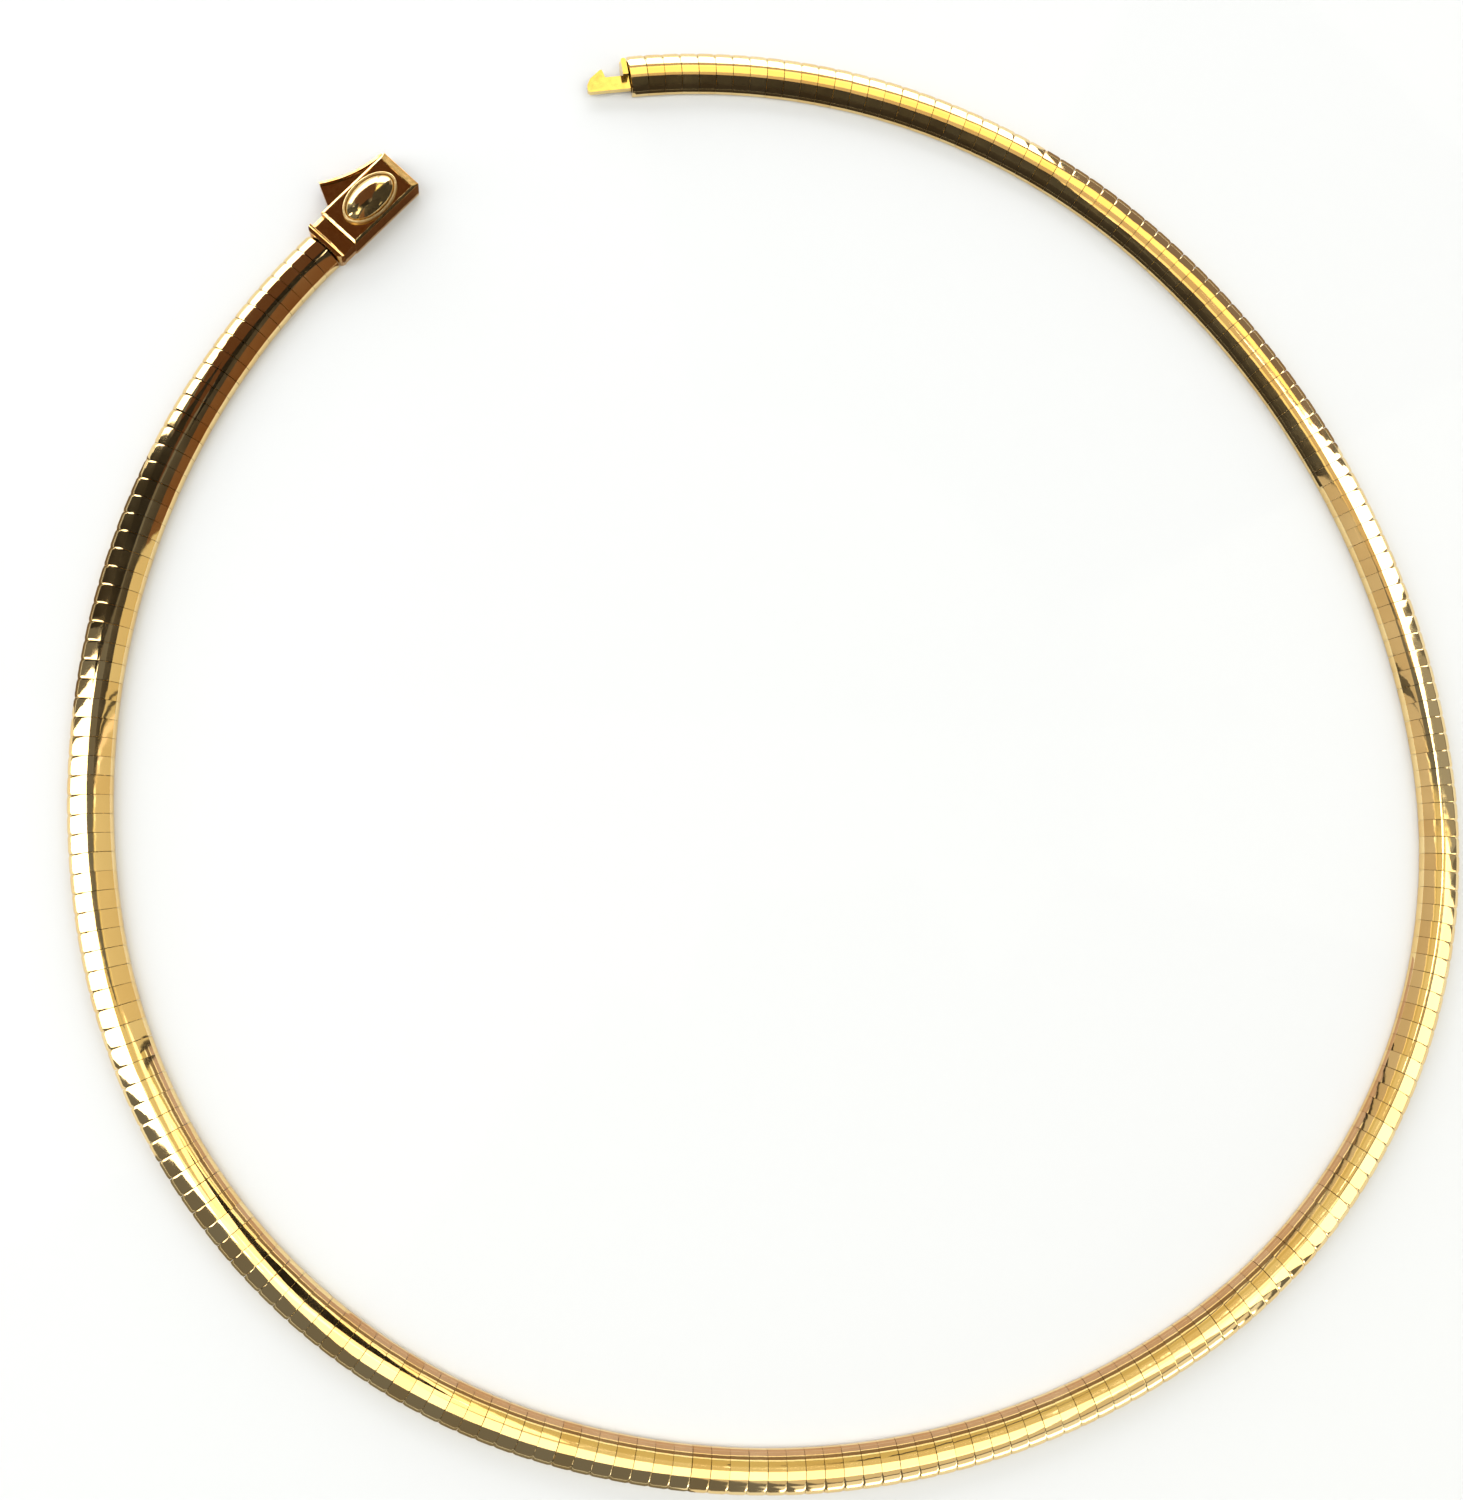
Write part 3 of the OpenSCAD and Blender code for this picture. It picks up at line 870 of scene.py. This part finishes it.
def boss():
    """The polished oval dome."""
    fresh()
    bpy.ops.mesh.primitive_uv_sphere_add(
        segments=64,
        ring_count=32,
        radius=1,
        location=Vector((BOX_MIDDLE, 0, FACE_Z)) * MM,
    )
    dome = bpy.context.object
    dome.scale = Vector((BOSS_L / 2, BOSS_W / 2, BOSS_H)) * MM
    settle(dome)
    bpy.ops.object.mode_set(mode="EDIT")
    bpy.ops.mesh.select_all(action="SELECT")
    bpy.ops.mesh.bisect(
        plane_co=Vector((0, 0, FACE_Z - BOSS_SINK)) * MM,
        plane_no=(0, 0, -1),
        clear_outer=True,
        use_fill=True,
    )
    bpy.ops.object.mode_set(mode="OBJECT")
    shade(dome, 50)
    return at_clasp(dome)


def bezel():
    """The raised ring round the dome, its top rounded like a wire."""
    top = FACE_Z + BEZEL_H

    def is_rim(p, edge):
        """True for an edge between the ring's top and one of its walls."""
        if p.z < top - NEAR or edge.is_boundary:
            return False
        first, second = (face.normal.z for face in edge.link_faces)
        return abs(first - second) > 0.5

    fresh()
    bpy.ops.mesh.primitive_cylinder_add(
        vertices=72,
        radius=1,
        depth=1,
        location=Vector((BOX_MIDDLE, 0, FACE_Z + BEZEL_H / 2 - BEZEL_SINK / 2)) * MM,
    )
    ring = bpy.context.object
    ring.scale = Vector((BOSS_L / 2 + BEZEL_W, BOSS_W / 2 + BEZEL_W, BEZEL_H + BEZEL_SINK)) * MM
    settle(ring)
    bpy.ops.object.mode_set(mode="EDIT")
    pick("FACE", lambda p, f: p.z > top - NEAR)
    bpy.ops.mesh.inset(thickness=BEZEL_W * MM, depth=0)
    pull(0, 0, -BEZEL_DEPTH)
    pick("EDGE", is_rim)
    bpy.ops.mesh.bevel(offset=BEZEL_ROUND * MM, segments=4, affect="EDGES")
    bpy.ops.object.mode_set(mode="OBJECT")
    shade(ring, 50)
    return at_clasp(ring)


def from_node(name):
    """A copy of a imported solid, merged, to work on."""
    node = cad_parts[name]
    piece = node.copy()
    piece.data = node.data.copy()
    piece.parent = None
    for key in list(piece.keys()):
        if key.startswith("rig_"):
            del piece[key]
    bpy.context.scene.collection.objects.link(piece)
    take(piece)
    bpy.ops.object.mode_set(mode="EDIT")
    merge_points(CUT_MERGE)
    bpy.ops.object.mode_set(mode="OBJECT")
    return piece


def lever():
    """The release lever, with the top of its curved outer flange filed to lean outwards."""
    piece = from_node("clasp_lever")
    to_bench = clasp_frame(1).inverted()

    def on_outer_curve(p):
        """True on the flange's outer edge."""
        spot = to_bench @ p
        return abs(math.hypot(spot.x - WING_CENTRE[0], spot.y - WING_CENTRE[1]) - WING_R) < WING_SLACK

    bpy.ops.object.mode_set(mode="EDIT")
    pick("VERT", lambda p, v: p.z > WING_TOP - NEAR and on_outer_curve(p))
    bpy.ops.transform.translate(value=Vector((0, 0, -WING_FALL)) * MM)
    bpy.ops.object.mode_set(mode="OBJECT")
    return soften(piece, EDGE_R)


def tongue():
    """The catch at the other end, with its edges softened as filing leaves them."""
    return soften(from_node("tongue"), TONGUE_EDGE_R)


# Stage


def aim(thing, spot, target):
    """Puts a lamp or a card at a spot, with its face to the target."""
    thing.location = Vector(spot) * MM
    thing.rotation_euler = (Vector(target) - Vector(spot)).to_track_quat("-Z", "Y").to_euler()


def lamp(name, spot, target, size, glow, colour="#FFFFFF", floor_too=True):
    """A soft rectangular studio lamp, as bright as its glow all over; the camera never sees it."""
    light = bpy.data.lights.new(name, "AREA")
    light.shape = "RECTANGLE"
    light.size, light.size_y = size[0] * MM, size[1] * MM
    light.energy = glow * math.pi * light.size * light.size_y
    light.color = linear(colour)[:3]
    holder = bpy.data.objects.new(name, light)
    bpy.context.scene.collection.objects.link(holder)
    aim(holder, spot, target)
    holder.visible_camera = False
    holder.visible_diffuse = floor_too


def reflector(name, spot, target, size, glow, colour):
    """A lit card that shows only in the gold and doesn't light the floor."""
    lamp(name, spot, target, size, glow, colour, floor_too=False)


def paint_matt(board, name, colour, roughness):
    """Paints a thing of the stage in one matt colour."""
    paint = bpy.data.materials.new(name)
    paint.use_nodes = True
    shader = paint.node_tree.nodes["Principled BSDF"]
    shader.inputs["Base Color"].default_value = linear(colour)
    shader.inputs["Roughness"].default_value = roughness
    board.data.materials.append(paint)
    return shader


def card(name, spot, target, size, colour):
    """A matt studio card, seen only in reflections."""
    fresh()
    bpy.ops.mesh.primitive_plane_add(size=1)
    board = bpy.context.object
    board.name = name
    board.scale = Vector((size[0], size[1], 1)) * MM
    aim(board, spot, target)
    settle(board)
    only_mirrored(board, name, colour)


def only_mirrored(board, name, colour):
    """Paints a studio card matt and keeps it out of everything but reflections."""
    paint_matt(board, name, colour, 0.9)
    board.visible_camera = False
    board.visible_shadow = False
    board.visible_diffuse = False


def floor_card(name, arc, start, end, near, far, colour):
    """A curved card on the floor, between two headings and two distances out from the ring's middle line."""
    heading = math.radians(start)
    along = Vector((math.cos(heading), math.sin(heading), 0))
    out = Vector((math.sin(heading), -math.cos(heading), 0))
    centre = Vector((*arc["centre"], FLOOR_CARD_Z))
    spot = centre + (arc["radius"] + (near + far) / 2) * out
    fresh()
    bpy.ops.mesh.primitive_plane_add(size=1, location=spot * MM, rotation=(0, 0, heading))
    board = bpy.context.object
    board.name = name
    board.scale = Vector((FLOOR_CARD_START, abs(far - near), 1)) * MM
    settle(board)
    bpy.ops.object.mode_set(mode="EDIT")
    pick("EDGE", lambda p, e: (p - spot).dot(along) > FLOOR_CARD_START / 2 - NEAR)
    bpy.ops.mesh.spin(
        steps=max(1, round(end - start)),
        angle=-math.radians(end - start),
        center=centre * MM,
        axis=(0, 0, 1),
    )
    bpy.ops.object.mode_set(mode="OBJECT")
    only_mirrored(board, name, colour)


def pale_floor():
    """A wide pale board under the necklace."""
    fresh()
    bpy.ops.mesh.primitive_plane_add(size=3.0, location=(0, 0, 0))
    floor = bpy.context.object
    floor.name = "floor"
    paint_matt(floor, "matt pale board", "#C4C6C9", 0.8)


def pale_backdrop():
    """Lit paper all round, which closes the view from the sides. The gold doesn't mirror it."""
    fresh()
    bpy.ops.mesh.primitive_cylinder_add(
        vertices=96,
        radius=0.95,
        depth=2.0,
        end_fill_type="NOTHING",
        location=(0, 0, 0.99),
    )
    backdrop = bpy.context.object
    backdrop.name = "backdrop"
    paper = paint_matt(backdrop, "lit pale paper", "#404043", 0.9)
    paper.inputs["Emission Color"].default_value = linear("#F6F7F9")
    paper.inputs["Emission Strength"].default_value = 0.85
    backdrop.visible_glossy = False
    backdrop.visible_diffuse = False
    backdrop.visible_shadow = False


def dim_room():
    """Faint light from all sides, for the directions without a lamp."""
    world = bpy.data.worlds.new("dim room")
    world.use_nodes = True
    world.node_tree.nodes["Background"].inputs["Color"].default_value = linear("#F6F7FF")
    world.node_tree.nodes["Background"].inputs["Strength"].default_value = 0.2
    bpy.context.scene.world = world


def room_lamps():
    """Windows, lamps and walls round the ring, which light the floor and show in the gold."""
    middle = (0, 0, 0)
    lamp("left window", (-635, -72, 481), middle, (478, 1120), 4.4)
    lamp("left back window", (-540, 786, 301), middle, (910, 555), 4.4)
    lamp("back window", (187, 922, 338), middle, (640, 640), 4.4)
    lamp("back wall", (143, 680, 720), middle, (470, 300), 0.45, "#FFE2B0")
    lamp("brown corner", (600, 620, 380), middle, (420, 760), 0.08, "#FF9A40")
    lamp("right window", (636, 303, 560), middle, (161, 1332), 4.4)
    lamp("right wall", (727, 122, 516), middle, (247, 1039), 0.22)
    lamp("front right lamp", (724, -242, 477), middle, (511, 1039), 2.2, "#FFFDEA")
    lamp("low front strip", (474, -873, 113), middle, (704, 193), 4.4)
    lamp("low front lamp", (474, -804, 358), middle, (735, 317), 0.8)
    lamp("front lamp", (380, -596, 707), middle, (586, 389), 0.6, "#FFF2D8")
    lamp("top lamp", (20, -300, 700), (20, -300, 0), (640, 440), 2.0, "#FFFDE4")
    lamp("amber ceiling", (20, -39, 700), (20, -39, 0), (640, 82), 0.7, "#FFEDAD")


def reflectors_and_screens():
    """Lit and dark cards that show only in the gold, as its bright and dark bands."""
    reflector("gold reflector", (54, 142, 150), (54, 142, 0), (152, 95), 1.6, "#FFEE9A")
    reflector("right gold reflector", (155, 130, 150), (155, 130, 0), (50, 72), 1.6, "#FFEE9A")
    reflector("amber reflector", (54, 58, 150), (54, 58, 0), (132, 72), 0.6, "#FFDCA0")
    reflector("amber screen", (95, 2, 394), (95, -80, 394), (300, 592), 0.7, "#FFEDAD")
    reflector("cream edge", (0, 2, 88), (0, -80, 88), (110, 16), 1.5, "#FFFBE6")
    reflector("brown screen", (0, 2, 65), (0, -80, 65), (110, 30), 0.26, "#FFDCC0")
    reflector("cream line", (0, 2, 48), (0, -80, 48), (110, 4), 1.6, "#FFFBE6")
    reflector("rose screen", (0, 2, 23), (0, -80, 23), (110, 46), 0.57, "#FFE4EB")
    card("dark screen", (0, 4, 130), (0, 80, 130), (110, 260), DARK_CARD)
    card("right screen", (36, 2.5, 90), (80, 2.5, 90), (35, 176), DARK_CARD)
    reflector("right tan screen", (38, 2.5, 90), (80, 2.5, 90), (35, 176), 0.6, "#FFF0DC")
    card("left screen", (-44, 13.5, 90), (-80, 13.5, 90), (73, 176), DARK_CARD)
    reflector("left tan screen", (-46, -8, 90), (-80, -8, 90), (30, 176), 0.75, "#FFF2CC")
    reflector("left low tan screen", (-46, 12.5, 21.5), (-80, 12.5, 21.5), (11, 39), 0.75, "#FFF2CC")
    reflector("left brown screen", (-46, 34, 14), (-80, 34, 14), (32, 28), 0.15, "#FF9D2F")
    card("clasp screen", (-85, 120, 130), (-55, 55, 0), (120, 150), CLASP_CARD)
    reflector("clasp glow", (-84.5, 119, 128), (-55, 55, 0), (120, 150), 0.1, "#FFA060")
    card("inner clasp screen", (5, 40, 88), (-55, 50, 60), (56, 105), CLASP_CARD)
    card("near clasp screen", (-28, 72, 45), (-55, 60, 40), (30, 60), CLASP_CARD)
    card("low clasp screen", (-30, 61, 9), (-48, 59, 5), (18, 16), CLASP_CARD)
    card("left clasp screen", (-125, 52, 45), (-50, 57, 30), (48, 80), CLASP_CARD)
    card("high left clasp screen", (-90.4, 45.4, 71.3), (-50, 57, 3), (50, 44), CLASP_CARD)
    card("high clasp screen", (-47, 52, 60), (-55, 46, 2), (22, 22), CLASP_CARD)
    card("small right clasp screen", (-24, 48.7, 8.6), (-47, 57, 3), (14, 10), CLASP_CARD)
    reflector("pale surround", (-38, -46, 52), (-38, -46, 0), (44, 44), 1.4, "#FFF6D8")
    card("small dark card", (-36, -44, 45), (-36, -44, 0), (22, 26), DARK_CARD)


def floor_cards():
    """Cards that lie along the ring and the clasp, which the low walls of the gold mirror."""
    inside = -HALF_W - FLOOR_CARD_GAP
    outside = HALF_W + FLOOR_CARD_GAP
    floor_card("left rose floor card", ARCS[1], 322, 341.5, inside, -45, ROSE_CARD)
    floor_card("rose floor card", ARCS[2], 341.5, 391.5, inside, -60, ROSE_CARD)
    floor_card("right rose floor card", ARCS[3], 391.5, 436, inside, -45, ROSE_CARD)
    floor_card("right dark floor card", ARCS[4], 478, 500, inside, -40, DARK_CARD)
    floor_card("back dark floor card", ARCS[5], 500, 550, inside, -40, DARK_CARD)
    floor_card("left brown floor card", ARCS[0], 248, 266, outside, 40, "#4A3A28")
    floor_card("left olive floor card", ARCS[1], 301, 341.5, outside, 40, OLIVE_CARD)
    floor_card("front olive floor card", ARCS[2], 341.5, 353, outside, 40, OLIVE_CARD)
    floor_card("right brown floor card", ARCS[4], 480, 500, outside, 40, TAN_CARD)
    floor_card("back brown floor card", ARCS[5], 500, 512, outside, 40, TAN_CARD)
    clasp_card = block(
        "clasp floor card",
        (0, -CLASP_CARD_EDGE, FLOOR_CARD_Z / 2),
        (COLLAR_L + BOX_L + CLASP_CARD_PAST, -BOX_W / 2 - CLASP_CARD_GAP, FLOOR_CARD_Z),
    )
    at_clasp(clasp_card)
    only_mirrored(clasp_card, "clasp floor card", "#5E4028")


def photo_camera():
    """The camera at the photo's angle."""
    camera = bpy.data.cameras.new("camera")
    camera.sensor_fit = "HORIZONTAL"
    camera.sensor_width = SENSOR_W
    camera.lens = SENSOR_W * FOCAL / PHOTO_WIDTH
    camera.clip_start = 0.01
    holder = bpy.data.objects.new("camera", camera)
    bpy.context.scene.collection.objects.link(holder)
    back = Vector(CAMERA_BACK).normalized()
    up = back.cross(Vector(CAMERA_RIGHT)).normalized()
    right = up.cross(back)
    spot = (Vector(LOOK_AT) + CAMERA_DISTANCE * back) * MM
    turned = Matrix((right, up, back)).transposed().to_4x4()
    holder.matrix_world = Matrix.Translation(spot) @ turned
    bpy.context.scene.camera = holder
    bpy.context.scene.view_settings.view_transform = "Standard"


plate_gold = polished_plate_gold()
clasp_gold = worn_clasp_gold_with_painted_shade()
bezel_gold = burnished_bezel_gold()
tongue_gold = filed_tongue_gold()
band_gold = woven_band_gold()

pale_floor()
pale_backdrop()
dim_room()
room_lamps()
reflectors_and_screens()
floor_cards()
photo_camera()

# Each piece with its gold, its body, its slot and the node that it replaces.
pieces = {
    "domed_plates_left": (chain_run(ARCS[:3]), plate_gold, "collar", "plates", "chain_left"),
    "domed_plates_right": (chain_run(ARCS[3:]), plate_gold, "collar", "plates", "chain_right"),
    "woven_strip": (band(), band_gold, "collar", "band", "inner_band"),
    "clasp_case": (clasp_shell(), clasp_gold, "collar", "clasp", "clasp_box"),
    "clasp_collar": (collar(), clasp_gold, "collar", "clasp", None),
    "clasp_boss": (boss(), clasp_gold, "collar", "clasp", None),
    "clasp_bezel": (bezel(), bezel_gold, "collar", "clasp", None),
    "release_lever": (lever(), clasp_gold, "lever", "lever", "clasp_lever"),
    "toothed_tongue": (tongue(), tongue_gold, "collar", "tongue", "tongue"),
}
for name, (piece, gold, body, slot, node) in pieces.items():
    piece.data.materials.clear()
    piece.data.materials.append(gold)
    hand_over(piece, name, body, slot, *([node] if node else []))

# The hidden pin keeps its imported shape.
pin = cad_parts["lever_pin"]
for place in pin.material_slots:
    place.material = clasp_gold
